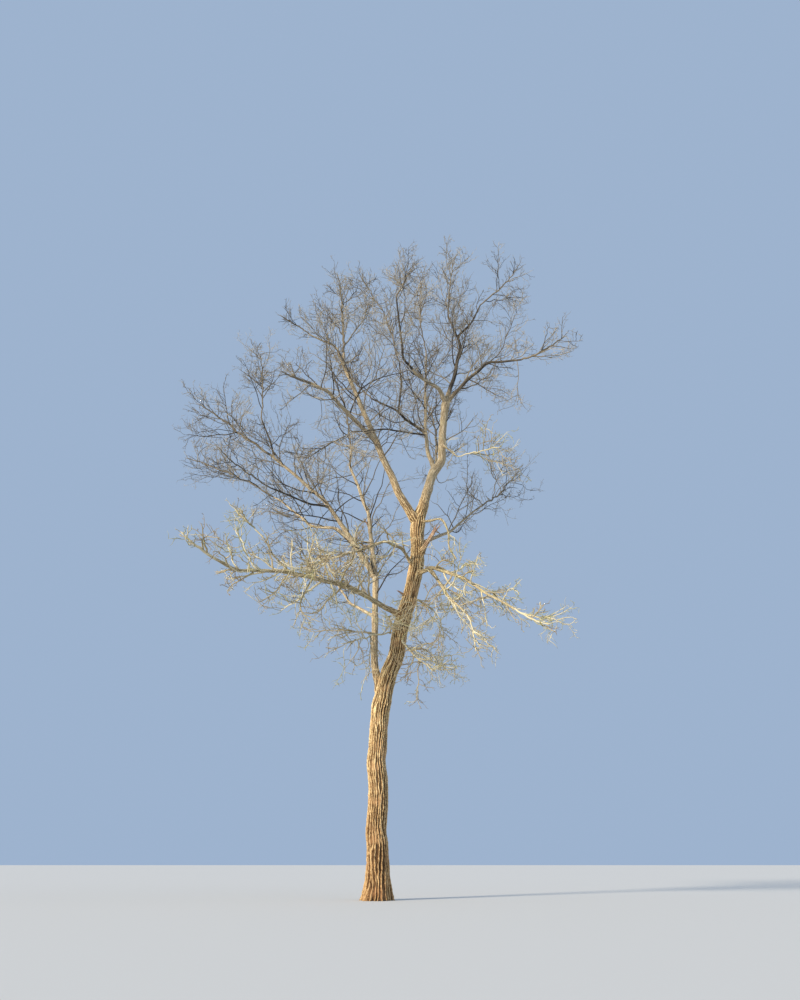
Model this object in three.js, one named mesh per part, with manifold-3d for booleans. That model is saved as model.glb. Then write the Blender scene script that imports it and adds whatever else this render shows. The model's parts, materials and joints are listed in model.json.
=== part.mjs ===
import * as THREE from 'three';
import { mergeVertices } from 'three/addons/utils/BufferGeometryUtils.js';
import Module from 'manifold-3d';

// A black locust tree in winter: trunk, boughs and bare twigs, about 26 m tall.
// Millimetres, +Z up. The origin is the middle of the flat cut at ground level.
// A heading is in degrees in plan, from +X towards +Y. A rise is in degrees above the level.

// Clearance between neighbouring solids, and the margin round a limb that is cut out of another
const GAP = 0.3;
const CUT_MARGIN = 0.36;

// Limbs: a limb follows its runs, and strays from them a little at evenly spaced knots
const LIMB_SEED = 1000;
const LIMB_SEED_STEP = 97;
const KNOT_SPACING = 700;
const CROOKEDNESS = 0.35;
const RING_SPACING = 620;
const FEWEST_RINGS = 3;

// A limb swells at its root, and the trunk flares where it meets the ground
const COLLAR_SWELL = 0.25;
const COLLAR_REACH = 4;
const FLARE_SWELL = 155;
const FLARE_REACH = 450;

// Sides of a limb's section, from its root radius
const TRUNK_SIDES = 14;
const THICK_SIDES = 9;
const THICK_RADIUS = 120;
const BOUGH_SIDES = 7;
const BOUGH_RADIUS = 60;
const THIN_SIDES = 5;

// Twigs: a mass has one stem, twigs on the stem, and smaller twigs on those
const MASS_SEED = 5000;
const MASS_SEED_STEP = 131;
const TWIG_SIDES = 3;
const STEM_SEGMENTS = 4;
const STEM_WANDER = 0.3;
const STEM_TIP_RADIUS = 9;
const TWIG_TIP_RADIUS = 4;
const TWIG_ROOT_SHARE = 0.42;
const TWIG_WANDER = 0.55;
const FIRST_TWIG_SHARE = 0.1;
const LAST_TWIG_SHARE = 0.9;
const GOLDEN_TURN = 137.5;
const TURN_JITTER = 40;
const ROOT_LENGTHENING = 1.2;
const TIP_SHORTENING = 0.85;
const LENGTH_JITTER = 0.35;
const FEWEST_TWIGS = 2;
const SEED_FACTOR = 31;
// A twig that is not free is tried once more at a share of its length
const TRIMS = [1, 0.6];
// Each level: the spacing of its twigs along their parent, their length as a share of the parent's,
// the longest that length may be, their angle to the parent and their segments
const TWIG_LEVELS = [
  { spacing: 620, share: 0.85, longest: 2300, spread: 46, segments: 2 },
  { spacing: 720, share: 0.55, longest: 1200, spread: 42, segments: 1 },
];

// Each mass keeps this far from the next one's space, and its twigs keep this far from a limb
const SPACE_MARGIN = 25;
const LIMB_CLEARANCE = 8;
const CHECK_SPACING = 90;
const LOWEST_TWIG = 300;

// Base radius and tip radius of each limb, and its runs: heading, rise and length.
// A limb springs from its parent at a share of the parent's length, and from the tip where that is 1.
const LIMBS = [
  { name: 'trunk', bark: 'furrowed', base: 320, tip: 215,
    runs: [[0, 90, 4500], [0, 84, 1480], [7, 74, 1400], [9, 76, 2610], [0, 83, 1230], [47, 87, 1170]] },
  { name: 'leader', bark: 'smooth', parent: 'trunk', share: 1, base: 170, tip: 125,
    runs: [[20, 73, 1900], [343, 54, 600], [283, 77, 920], [311, 80, 1450]] },
  { name: 'left_bough', bark: 'smooth', parent: 'trunk', share: 0.975, base: 150, tip: 45,
    runs: [[207, 55, 1330], [217, 60, 2010], [202, 66, 3250], [250, 83, 500]] },
  { name: 'left_side_branch', bark: 'smooth', parent: 'left_bough', share: 0.88, base: 42, tip: 24,
    runs: [[213, 62, 960], [203, 14, 1040]] },
  { name: 'left_outer_bough', bark: 'smooth', parent: 'left_bough', share: 0.46, base: 85, tip: 45,
    runs: [[221, 28, 1230], [225, 25, 1250], [214, 12, 730]] },
  { name: 'right_stem', bark: 'dark', parent: 'leader', share: 1, base: 85, tip: 50,
    runs: [[29, 72, 1320], [36, 77, 1540], [153, 78, 520]] },
  { name: 'crown_top_branch', bark: 'dark', parent: 'right_stem', share: 0.92, base: 42, tip: 24,
    runs: [[145, 72, 1490], [70, 81, 1300]] },
  { name: 'right_high_branch', bark: 'dark', parent: 'right_stem', share: 1, base: 44, tip: 26,
    runs: [[345, 43, 800], [343, 64, 900]] },
  { name: 'middle_stem', bark: 'smooth', parent: 'leader', share: 0.36, base: 85, tip: 26,
    runs: [[138, 71, 940], [115, 79, 1110], [80, 81, 3220], [79, 83, 900]] },
  { name: 'arching_bough', bark: 'smooth', parent: 'leader', share: 0.97, base: 75, tip: 58,
    runs: [[236, 40, 630], [227, 3, 1300]] },
  { name: 'arching_riser', bark: 'dark', parent: 'arching_bough', share: 1, base: 50, tip: 26,
    runs: [[222, 34, 720], [243, 76, 2370]] },
  { name: 'right_bough', bark: 'dark', parent: 'leader', share: 0.97, base: 72, tip: 30,
    runs: [[318, 31, 1230], [307, 6, 1130], [310, -23, 1720]] },
  { name: 'inner_bough', bark: 'dark', parent: 'middle_stem', share: 0.34, base: 62, tip: 28,
    runs: [[214, 18, 940], [219, 24, 530], [165, 35, 1200]] },
  { name: 'inner_riser', bark: 'dark', parent: 'inner_bough', share: 0.56, base: 42, tip: 24,
    runs: [[68, 78, 1510], [115, 79, 1120]] },
  { name: 'hanging_branch', bark: 'dark', parent: 'middle_stem', share: 0.32, base: 36, tip: 22,
    runs: [[235, -20, 2850], [228, -26, 1790]] },
  { name: 'dead_branch', bark: 'pale', parent: 'leader', share: 0.6, base: 34, tip: 20,
    runs: [[304, -45, 1230]] },
  { name: 'west_stem', bark: 'smooth', parent: 'trunk', share: 0.476, base: 135, tip: 38,
    runs: [[117, 65, 1470], [92, 79, 3270], [112, 73, 3030], [135, 65, 2680], [88, 78, 960]] },
  { name: 'west_bough', bark: 'smooth', parent: 'west_stem', share: 0.42, base: 110, tip: 44,
    runs: [[194, 58, 1580], [193, 54, 1880], [198, 37, 2040], [198, 35, 600]] },
  { name: 'west_riser', bark: 'dark', parent: 'west_bough', share: 0.97, base: 40, tip: 26,
    runs: [[150, 72, 820], [137, 61, 1270]] },
  { name: 'west_back_bough', bark: 'smooth', parent: 'west_bough', share: 0.28, base: 70, tip: 30,
    runs: [[148, 43, 1210], [149, 18, 1240], [151, 42, 1970], [153, 34, 500]] },
  { name: 'west_front_branch', bark: 'dark', parent: 'west_bough', share: 0.56, base: 44, tip: 24,
    runs: [[227, -12, 970], [227, 1, 1770]] },
  { name: 'low_left_bough', bark: 'pale', parent: 'trunk', share: 0.7, base: 92, tip: 42,
    runs: [[216, 16, 2300], [224, -2, 2440], [213, -8, 1650], [216, 14, 700]] },
  { name: 'low_left_riser', bark: 'pale', parent: 'low_left_bough', share: 0.66, base: 34, tip: 20,
    runs: [[207, 41, 720], [201, 58, 530]] },
  { name: 'pale_left_branch', bark: 'pale', parent: 'trunk', share: 0.835, base: 62, tip: 26,
    runs: [[226, 39, 900], [231, 0, 900], [225, -29, 1610], [223, -24, 960]] },
  { name: 'pale_right_branch', bark: 'pale', parent: 'trunk', share: 0.815, base: 75, tip: 28,
    runs: [[310, 1, 920], [307, -27, 1680], [308, -37, 1420], [313, -34, 1160]] },
  { name: 'pale_hanging_branch', bark: 'pale', parent: 'pale_right_branch', share: 0.17, base: 58, tip: 24,
    runs: [[291, -44, 2070], [301, -41, 1230]] },
  { name: 'bent_branch', bark: 'pale', parent: 'trunk', share: 0.985, base: 46, tip: 26,
    runs: [[314, -12, 1140], [305, -58, 680], [277, -80, 600], [316, -60, 580]] },
  { name: 'broken_stub', bark: 'split', parent: 'trunk', share: 0.865, base: 92, tip: 62,
    runs: [[321, 49, 1250]] },
  { name: 'back_bough', bark: 'smooth', parent: 'leader', share: 0.22, base: 75, tip: 34,
    runs: [[70, 48, 1500], [85, 58, 2000]] },
  { name: 'back_right_bough', bark: 'smooth', parent: 'trunk', share: 0.91, base: 72, tip: 30,
    runs: [[35, 30, 1700], [42, 42, 1900]] },
  { name: 'back_left_bough', bark: 'smooth', parent: 'west_stem', share: 0.3, base: 62, tip: 28,
    runs: [[135, 30, 1500], [120, 42, 1500]] },
  { name: 'back_low_branch', bark: 'pale', parent: 'trunk', share: 0.74, base: 62, tip: 26,
    runs: [[75, 18, 1600], [70, 4, 1700]] },
];

// Each mass of twigs: its bough, the heading, rise and length of its stem, and how far its twigs turn up.
// A stem springs from its bough's tip, and one on the trunk's side at a share of the trunk's length.
const MASSES = [
  { name: 'left_top_twigs', bough: 'left_bough', stem: [326, 82, 2850], lift: 0.3 },
  { name: 'left_side_twigs', bough: 'left_side_branch', stem: [201, 37, 1250], lift: 0.3 },
  { name: 'left_outer_twigs', bough: 'left_outer_bough', stem: [214, -1, 1210], lift: 0.2 },
  { name: 'crown_top_twigs', bough: 'crown_top_branch', stem: [67, 87, 2190], lift: 0.3 },
  { name: 'right_high_twigs', bough: 'right_high_branch', stem: [344, 40, 2210], lift: 0.3 },
  { name: 'middle_twigs', bough: 'middle_stem', stem: [74, 83, 5000], lift: 0.3 },
  { name: 'arching_twigs', bough: 'arching_riser', stem: [9, 66, 2050], lift: 0.3 },
  { name: 'right_twigs', bough: 'right_bough', stem: [321, -4, 1900], lift: 0.3 },
  { name: 'inner_left_twigs', bough: 'inner_bough', stem: [154, 52, 2710], lift: 0.3 },
  { name: 'inner_top_twigs', bough: 'inner_riser', stem: [158, 74, 4570], lift: 0.3 },
  { name: 'hanging_twigs', bough: 'hanging_branch', stem: [216, -45, 2630], lift: 0 },
  { name: 'dead_twigs', bough: 'dead_branch', stem: [324, -11, 2090], lift: 0 },
  { name: 'west_stem_twigs', bough: 'west_stem', stem: [114, 72, 3140], lift: 0.3 },
  { name: 'west_twigs', bough: 'west_bough', stem: [196, 31, 3530], lift: 0.3 },
  { name: 'west_riser_twigs', bough: 'west_riser', stem: [182, 81, 3640], lift: 0.3 },
  { name: 'west_back_twigs', bough: 'west_back_bough', stem: [162, 29, 4600], lift: 0.3 },
  { name: 'west_front_twigs', bough: 'west_front_branch', stem: [219, 13, 2500], lift: 0.2 },
  { name: 'low_left_twigs', bough: 'low_left_bough', stem: [210, 19, 1300], lift: 0 },
  { name: 'low_riser_twigs', bough: 'low_left_riser', stem: [191, 51, 1400], lift: 0.2 },
  { name: 'pale_left_twigs', bough: 'pale_left_branch', stem: [236, -46, 2100], lift: -0.2 },
  { name: 'pale_right_twigs', bough: 'pale_right_branch', stem: [313, -32, 1500], lift: -0.1 },
  { name: 'pale_hanging_twigs', bough: 'pale_hanging_branch', stem: [300, -52, 1500], lift: -0.2 },
  { name: 'back_twigs', bough: 'back_bough', stem: [82, 59, 4610], lift: 0.3 },
  { name: 'back_right_twigs', bough: 'back_right_bough', stem: [34, 41, 3900], lift: 0.3 },
  { name: 'back_left_twigs', bough: 'back_left_bough', stem: [136, 33, 4880], lift: 0.2 },
  { name: 'back_low_twigs', bough: 'back_low_branch', stem: [69, -3, 2580], lift: -0.1 },
  { name: 'trunk_left_twigs', bough: 'trunk', share: 0.655, radius: 26, stem: [228, -14, 2900], lift: -0.1 },
  { name: 'trunk_right_twigs', bough: 'trunk', share: 0.645, radius: 30, stem: [305, -44, 2400], lift: -0.2 },
];

const MATERIALS = {
  furrowed: { color: '#a98a66', roughness: 0.95, metalness: 0 },
  smooth: { color: '#9c8666', roughness: 0.85, metalness: 0 },
  dark: { color: '#6a5f52', roughness: 0.85, metalness: 0 },
  pale: { color: '#a9a283', roughness: 0.9, metalness: 0 },
  split: { color: '#b98f78', roughness: 0.8, metalness: 0 },
  twig: { color: '#7d7062', roughness: 0.85, metalness: 0 },
};

const wasm = await Module();
wasm.setup();

const group = new THREE.Group();
const limbs = new Map();
addLimbs();
addMasses();

function addLimbs() {
  LIMBS.forEach((row, index) => {
    const limb = layLimb(row, LIMB_SEED + LIMB_SEED_STEP * index);
    const earlier = [...limbs.values()];
    const solid = earlier.reduce(cutClear, tube(limb, 0));
    limbs.set(row.name, limb);
    group.add(namedMesh(row.name, largestBody(solid), MATERIALS[row.bark]));
  });
}

function addMasses() {
  const stems = MASSES.map((row, index) => layStem(row, MASS_SEED + MASS_SEED_STEP * index));
  for (const stem of stems) {
    const others = stems.filter((other) => other !== stem);
    const isFree = (points, radius) => inOwnSpace(points, stem, others) && clearOfLimbs(points, radius);
    const twigs = [stem, ...growTwigs(stem, stem.lift, 0, isFree)];
    const fused = twigs.map((twig) => tube(twig, 0)).reduce((whole, twig) => whole.add(twig));
    const solid = stem.onTrunk ? cutClear(fused, limbs.get('trunk')) : fused;
    group.add(namedMesh(stem.name, largestBody(solid), MATERIALS.twig));
  }
}

// The centres, radii and end directions of a limb's rings
function layLimb(row, seed) {
  const random = randomStream(seed);
  const parent = limbs.get(row.parent);
  const atTip = parent && row.share === 1;
  const firstDirection = atTip ? parent.lastDirection : direction(...row.runs[0]);
  const start = parent ? parent.curve.getPoint(row.share) : new THREE.Vector3();
  if (atTip) start.addScaledVector(firstDirection, GAP);
  const stray = CROOKEDNESS * (row.base + row.tip) / 2;
  const knots = [start];
  const corner = start.clone();
  for (const [heading, rise, length] of row.runs) {
    const way = direction(heading, rise);
    const steps = Math.ceil(length / KNOT_SPACING);
    for (let step = 1; step <= steps; step += 1) {
      const knot = corner.clone().addScaledVector(way, length * step / steps);
      knots.push(knot.add(randomOffset(random).multiplyScalar(stray)));
    }
    corner.addScaledVector(way, length);
  }
  const curve = new THREE.CatmullRomCurve3(knots, false, 'catmullrom', 0.5);
  const length = row.runs.reduce((total, run) => total + run[2], 0);
  const rings = Math.max(FEWEST_RINGS, Math.ceil(length / RING_SPACING));
  const shares = Array.from({ length: rings + 1 }, (_, ring) => ring / rings);
  return {
    curve,
    points: shares.map((share) => curve.getPoint(share)),
    radii: shares.map((share) => limbRadius(row, share, length)),
    sides: limbSides(row),
    firstDirection,
    lastDirection: knots.at(-1).clone().sub(knots.at(-2)).normalize(),
  };
}

function limbRadius(row, share, length) {
  const plain = THREE.MathUtils.lerp(row.base, row.tip, share);
  const distance = share * length;
  if (!row.parent) return plain + FLARE_SWELL * Math.exp(-distance / FLARE_REACH);
  if (row.share === 1) return plain;
  return plain + COLLAR_SWELL * row.base * Math.exp(-distance / (COLLAR_REACH * row.base));
}

function limbSides(row) {
  if (!row.parent) return TRUNK_SIDES;
  if (row.base > THICK_RADIUS) return THICK_SIDES;
  return row.base > BOUGH_RADIUS ? BOUGH_SIDES : THIN_SIDES;
}

// The stem of a mass, from the tip of its bough or from the middle of the trunk
function layStem(row, seed) {
  const bough = limbs.get(row.bough);
  const onTrunk = row.share !== undefined;
  const [heading, rise, length] = row.stem;
  const way = direction(heading, rise);
  const firstDirection = onTrunk ? way : bough.lastDirection;
  const start = onTrunk ? bough.curve.getPoint(row.share) : tipOf(bough);
  if (!onTrunk) start.addScaledVector(firstDirection, GAP);
  const path = { start, way, length, segments: STEM_SEGMENTS, wander: STEM_WANDER, lift: 0 };
  const points = twigPath(path, randomStream(seed));
  const radius = onTrunk ? row.radius : bough.radii.at(-1);
  return {
    name: row.name, lift: row.lift, onTrunk, seed, length, points, firstDirection,
    radii: taper(radius, STEM_TIP_RADIUS, STEM_SEGMENTS),
    sides: TWIG_SIDES,
    lastDirection: lastWay(points),
  };
}

// Side twigs of a twig, and their own side twigs, leaving out each one that is not free
function growTwigs(parent, lift, level, isFree) {
  if (level === TWIG_LEVELS.length) return [];
  const { spacing, share: lengthShare, longest, spread, segments } = TWIG_LEVELS[level];
  const count = Math.max(FEWEST_TWIGS, Math.round(parent.length / spacing));
  const grown = [];
  for (let index = 0; index < count; index += 1) {
    const seed = (Math.imul(parent.seed, SEED_FACTOR) + index + 1) >>> 0;
    const random = randomStream(seed);
    const share = THREE.MathUtils.lerp(FIRST_TWIG_SHARE, LAST_TWIG_SHARE, (index + random()) / count);
    const turn = GOLDEN_TURN * index + TURN_JITTER * (random() - 0.5);
    const root = along(parent, share);
    const way = leanAway(root.way, turn, spread);
    const middling = Math.min(parent.length * lengthShare, longest);
    const full = middling * (ROOT_LENGTHENING - TIP_SHORTENING * share);
    const length = full * (1 + LENGTH_JITTER * (random() - 0.5));
    const radius = Math.max(TWIG_TIP_RADIUS, TWIG_ROOT_SHARE * root.radius);
    const radii = taper(radius, TWIG_TIP_RADIUS, segments);
    const path = { start: root.point, way, segments, wander: TWIG_WANDER, lift };
    for (const trim of TRIMS) {
      const points = twigPath({ ...path, length: trim * length }, random);
      if (!isFree(points, radius)) continue;
      const ends = { firstDirection: way, lastDirection: lastWay(points) };
      const twig = { seed, length: trim * length, points, radii, sides: TWIG_SIDES, ...ends };
      grown.push(twig, ...growTwigs(twig, lift, level + 1, isFree));
      break;
    }
  }
  return grown;
}

// A path that wanders at each step and turns upwards by its lift, or downwards where that is negative
function twigPath({ start, way, length, segments, wander, lift }, random) {
  const points = [start.clone()];
  const heading = way.clone();
  for (let step = 0; step < segments; step += 1) {
    heading.addScaledVector(randomOffset(random), wander);
    heading.z += lift / segments;
    heading.normalize();
    points.push(points.at(-1).clone().addScaledVector(heading, length / segments));
  }
  return points;
}

// The point, direction and radius at a share of a twig's length
function along(twig, share) {
  const segments = twig.points.length - 1;
  const segment = Math.min(segments - 1, Math.floor(share * segments));
  const rest = share * segments - segment;
  const from = twig.points[segment];
  const to = twig.points[segment + 1];
  return {
    point: from.clone().lerp(to, rest),
    way: to.clone().sub(from).normalize(),
    radius: THREE.MathUtils.lerp(twig.radii[segment], twig.radii[segment + 1], rest),
  };
}

// A direction at an angle to the given one, turned about it
function leanAway(way, turn, spread) {
  const aside = perpendicular(way).applyAxisAngle(way, THREE.MathUtils.degToRad(turn));
  const angle = THREE.MathUtils.degToRad(spread);
  return way.clone().multiplyScalar(Math.cos(angle)).addScaledVector(aside, Math.sin(angle));
}

function perpendicular(way) {
  const level = new THREE.Vector3(-way.y, way.x, 0);
  return level.length() > 0.001 ? level.normalize() : new THREE.Vector3(1, 0, 0);
}

// A mass's space is all that lies nearer to its own stem than to another mass's
function inOwnSpace(points, stem, others) {
  return checkPoints(points).every((point) => {
    if (point.z < LOWEST_TWIG) return false;
    const own = distanceToLine(point, stem.points[0], stem.points.at(-1));
    return others.every((other) => {
      return own + SPACE_MARGIN < distanceToLine(point, other.points[0], other.points.at(-1));
    });
  });
}

function clearOfLimbs(points, radius) {
  return checkPoints(points).every((point) => {
    return [...limbs.values()].every((limb) => {
      for (let ring = 1; ring < limb.points.length; ring += 1) {
        const distance = distanceToLine(point, limb.points[ring - 1], limb.points[ring]);
        if (distance < limb.radii[ring - 1] + radius + LIMB_CLEARANCE) return false;
      }
      return true;
    });
  });
}

function checkPoints(points) {
  const checked = [points[0]];
  for (let index = 1; index < points.length; index += 1) {
    const steps = Math.ceil(points[index].distanceTo(points[index - 1]) / CHECK_SPACING);
    for (let step = 1; step <= steps; step += 1) {
      checked.push(points[index - 1].clone().lerp(points[index], step / steps));
    }
  }
  return checked;
}

function distanceToLine(point, start, end) {
  const nearest = new THREE.Vector3();
  new THREE.Line3(start, end).closestPointToPoint(point, true, nearest);
  return nearest.distanceTo(point);
}

// A closed cylinder bent through the points and grown by a margin, or a cone where its last radius is 0
function tube({ points, radii, sides, firstDirection, lastDirection }, margin) {
  const rings = points.length - 1;
  const endRadius = radii[rings] > 0 ? 1 : 0;
  const cylinder = new THREE.CylinderGeometry(endRadius, 1, 1, sides, rings);
  cylinder.deleteAttribute('normal');
  cylinder.deleteAttribute('uv');
  const geometry = mergeVertices(cylinder);
  const frames = ringFrames(points, firstDirection, lastDirection);
  const position = geometry.attributes.position;
  const corner = new THREE.Vector3();
  for (let index = 0; index < position.count; index += 1) {
    corner.fromBufferAttribute(position, index);
    const ring = Math.round((corner.y + 0.5) * rings);
    const radius = radii[ring] + margin / Math.cos(Math.PI / sides);
    const outwards = new THREE.Vector2(corner.x, corner.z).normalize().multiplyScalar(radius);
    const overrun = ring === rings ? margin : ring === 0 ? -margin : 0;
    const place = points[ring].clone()
      .addScaledVector(frames[ring].across, outwards.x)
      .addScaledVector(frames[ring].beside, outwards.y)
      .addScaledVector(frames[ring].along, overrun);
    position.setXYZ(index, place.x, place.y, place.z);
  }
  return toSolid(geometry);
}

// Axes of each ring, carried along the path with no twist
function ringFrames(points, firstDirection, lastDirection) {
  const last = points.length - 1;
  let across = perpendicular(firstDirection);
  return points.map((point, ring) => {
    let ahead = points[Math.min(ring + 1, last)].clone().sub(points[Math.max(ring - 1, 0)]).normalize();
    if (ring === 0) ahead = firstDirection;
    if (ring === last) ahead = lastDirection;
    across = across.clone().addScaledVector(ahead, -across.dot(ahead)).normalize();
    return { across, along: ahead, beside: across.clone().cross(ahead) };
  });
}

// The solid with the other limb cut out of it, leaving the clearance
function cutClear(solid, limb) {
  return solid.subtract(tube(limb, CUT_MARGIN));
}

function largestBody(solid) {
  const bodies = solid.decompose();
  return bodies.reduce((best, body) => (body.volume() > best.volume() ? body : best));
}

function toSolid(geometry) {
  const vertProperties = new Float32Array(geometry.attributes.position.array);
  const triVerts = new Uint32Array(geometry.index.array);
  return new wasm.Manifold(new wasm.Mesh({ numProp: 3, vertProperties, triVerts }));
}

function namedMesh(name, solid, look) {
  const { vertProperties, triVerts } = solid.getMesh();
  const geometry = new THREE.BufferGeometry();
  geometry.setAttribute('position', new THREE.BufferAttribute(vertProperties, 3));
  geometry.setIndex(new THREE.BufferAttribute(triVerts, 1));
  geometry.computeVertexNormals();
  const mesh = new THREE.Mesh(geometry, new THREE.MeshStandardMaterial(look));
  mesh.name = name;
  return mesh;
}

function direction(heading, rise) {
  const plan = THREE.MathUtils.degToRad(heading);
  const climb = THREE.MathUtils.degToRad(rise);
  const level = Math.cos(climb);
  return new THREE.Vector3(level * Math.cos(plan), level * Math.sin(plan), Math.sin(climb));
}

// The radii of the rings of a twig, which ends in a point
function taper(root, tip, segments) {
  const rings = Array.from({ length: segments }, (_, ring) => ring / segments);
  return [...rings.map((share) => THREE.MathUtils.lerp(root, tip, share)), 0];
}

function tipOf(limb) {
  return limb.points.at(-1).clone();
}

function lastWay(points) {
  return points.at(-1).clone().sub(points.at(-2)).normalize();
}

function randomOffset(random) {
  return new THREE.Vector3(random() - 0.5, random() - 0.5, random() - 0.5);
}

// Numbers from 0 to 1 that depend only on the seed
function randomStream(seed) {
  let state = seed >>> 0;
  return () => {
    state = (state + 0x6D2B79F5) >>> 0;
    let mixed = state;
    mixed = Math.imul(mixed ^ (mixed >>> 15), mixed | 1);
    mixed ^= mixed + Math.imul(mixed ^ (mixed >>> 7), mixed | 61);
    return ((mixed ^ (mixed >>> 14)) >>> 0) / 4294967296;
  };
}

export default group;
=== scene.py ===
import json
import math
from functools import cache
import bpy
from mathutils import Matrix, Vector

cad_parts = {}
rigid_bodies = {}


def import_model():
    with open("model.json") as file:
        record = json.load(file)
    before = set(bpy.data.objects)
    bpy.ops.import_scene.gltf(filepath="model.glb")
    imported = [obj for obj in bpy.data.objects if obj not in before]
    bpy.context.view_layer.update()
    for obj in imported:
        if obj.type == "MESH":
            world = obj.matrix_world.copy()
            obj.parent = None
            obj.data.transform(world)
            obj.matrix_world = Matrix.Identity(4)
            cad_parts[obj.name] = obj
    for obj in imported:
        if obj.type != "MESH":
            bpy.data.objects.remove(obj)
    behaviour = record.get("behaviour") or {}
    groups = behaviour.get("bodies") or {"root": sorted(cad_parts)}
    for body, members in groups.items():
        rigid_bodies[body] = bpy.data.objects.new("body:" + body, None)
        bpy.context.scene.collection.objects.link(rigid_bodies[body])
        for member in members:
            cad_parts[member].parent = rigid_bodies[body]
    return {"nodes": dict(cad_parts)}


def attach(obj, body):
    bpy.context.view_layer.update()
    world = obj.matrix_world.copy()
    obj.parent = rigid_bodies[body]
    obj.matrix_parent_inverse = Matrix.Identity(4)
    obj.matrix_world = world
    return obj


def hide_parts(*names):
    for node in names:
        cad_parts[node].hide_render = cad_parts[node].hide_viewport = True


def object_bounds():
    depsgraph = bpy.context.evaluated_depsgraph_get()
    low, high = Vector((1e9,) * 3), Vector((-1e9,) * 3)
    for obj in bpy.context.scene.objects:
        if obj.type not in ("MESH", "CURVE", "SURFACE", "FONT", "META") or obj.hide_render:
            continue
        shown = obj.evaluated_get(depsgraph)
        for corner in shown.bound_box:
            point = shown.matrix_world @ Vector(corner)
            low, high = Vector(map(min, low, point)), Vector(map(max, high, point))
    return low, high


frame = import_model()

from types import SimpleNamespace

import bpy
import numpy as np
from mathutils import Vector

# A black locust tree in winter. Sizes below are in millimetres, and pieces are made in metres.
# A heading is in degrees in plan, from +X towards +Y. A rise is in degrees above the level.
CAD_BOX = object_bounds()
BOX_LOW = np.array(CAD_BOX[0]) * 1000
BOX_HIGH = np.array(CAD_BOX[1]) * 1000
TO_METRES = 0.001
# A direction is upright if its length in plan is below this
LEAST_IN_PLAN = 0.001

# Random numbers: a stream's step, factors for a cell's place, and salts that keep the uses of a seed apart
TWO_TO_32 = 4294967296
STREAM_STEP = 0x6D2B79F5
COLUMN_FACTOR, ROW_FACTOR, PATTERN_FACTOR = 73856093, 19349663, 83492791
SPREAD_SALT, OPEN_SALT, CROWD_SALT = 0x9E3779B9, 0x68E31DA4, 0x51ED270B
KINK_SALT, TONE_SALT = 0x5BD1E995, 0x2545F491

# The solids' own rule for limbs
GAP = 0.3
LIMB_SEED = 1000
LIMB_SEED_STEP = 97
KNOT_SPACING = 700
CROOKEDNESS = 0.35
RING_SPACING = 620
FEWEST_RINGS = 3
COLLAR_SWELL = 0.25
COLLAR_REACH = 4
FLARE_SWELL = 155
FLARE_REACH = 450

# The solids' own rule for twigs
MASS_SEED = 5000
MASS_SEED_STEP = 131
STEM_SEGMENTS = 4
STEM_WANDER = 0.3
STEM_TIP_RADIUS = 9
GOLDEN_TURN = 137.5
TURN_JITTER = 40
FEWEST_TWIGS = 2
SEED_FACTOR = 31
TRIMS = (1, 0.6)
SPACE_MARGIN = 25
LIMB_CLEARANCE = 8
CHECK_SPACING = 90
LOWEST_TWIG = 300

# Levels of twigs: the first two are the solids' own, and the others are finer ones between and on them.
# Twigs stand between two shares of their parent. Their length is a share of the parent's, longer at its
# root than at its tip. Their root radius is a share of the parent's there, from the tip radius to the
# thickest. Jitters are how far lengths and angles vary, and the twigs of one spray have one colour.
SOLIDS_LEVEL = dict(first=0.1, last=0.9, root_length=1.2, tip_loss=0.85, jitter=0.35, spread_jitter=0,
                    wander=0.55, root_share=0.42, tip_radius=4, thickest=math.inf)
FINER_LEVEL = dict(first=0.28, last=0.97, root_length=1.1, tip_loss=0.5)
BOUGH_TWIGS = dict(SOLIDS_LEVEL, spacing=620, share=0.85, longest=2300, spread=46, segments=2,
                   own_spray=True)
SIDE_TWIGS = dict(SOLIDS_LEVEL, spacing=720, share=0.55, longest=1200, spread=42, segments=1)
LIMB_TWIGS = dict(FINER_LEVEL, share=0.78, spread=48, segments=8, wander=0.62, jitter=0.9, root_share=0.42,
                  tip_radius=8, thickest=28, spread_jitter=40, root_length=1.0, tip_loss=0.4, own_spray=True)
BETWEEN_TWIGS = dict(FINER_LEVEL, spacing=350, share=0.52, longest=1600, spread=48, segments=5, wander=0.85,
                     jitter=0.9, root_share=0.64, tip_radius=7, thickest=16, spread_jitter=40,
                     own_spray=True)
SHOOTS = dict(FINER_LEVEL, spacing=230, share=0.5, longest=850, spread=50, segments=4, wander=1.15,
              jitter=1.0, root_share=0.7, tip_radius=6, thickest=10, spread_jitter=46)
SPURS = dict(FINER_LEVEL, spacing=150, share=0.5, longest=340, spread=54, segments=2, wander=1.3,
             jitter=1.0, root_share=0.8, tip_radius=4, thickest=6, spread_jitter=50)
# The solids' own twigs are drawn thicker by this much
THICKER = 1.9
STEM_THICKER = 1.5
LOW_THICKER = 1.35
# Each of their segments becomes this many, with kinks of these shares of a new segment
FINER_STEPS = 4
STEM_KINK, BOUGH_KINK, SIDE_KINK = 0.4, 0.45, 0.5
# For each finer level, a cell's size and the most tips in it, in a high mass and in a low one
BETWEEN_CROWD, SHOOT_CROWD, SPUR_CROWD = (480, 2, 2), (380, 3, 2), (190, 2, 1)
CELLS_ACROSS = 1000
# The crown is more open inside: the share of finer twigs kept rises outwards between two shares of the reach
CROWN_MIDDLE = np.array([-500.0, 500.0, 15500.0])
CROWN_REACH = np.array([5500.0, 4500.0, 7500.0])
INNER_SHARE = 0.3
INNER_RISE = (0.2, 0.95)
# The share of finer twigs kept in masses that the sky shows through more
OPEN_MASSES = {"west_back_twigs": 0.55, "west_front_twigs": 0.65, "west_stem_twigs": 0.6,
               "back_left_twigs": 0.6, "back_twigs": 0.7, "back_right_twigs": 0.7}

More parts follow.
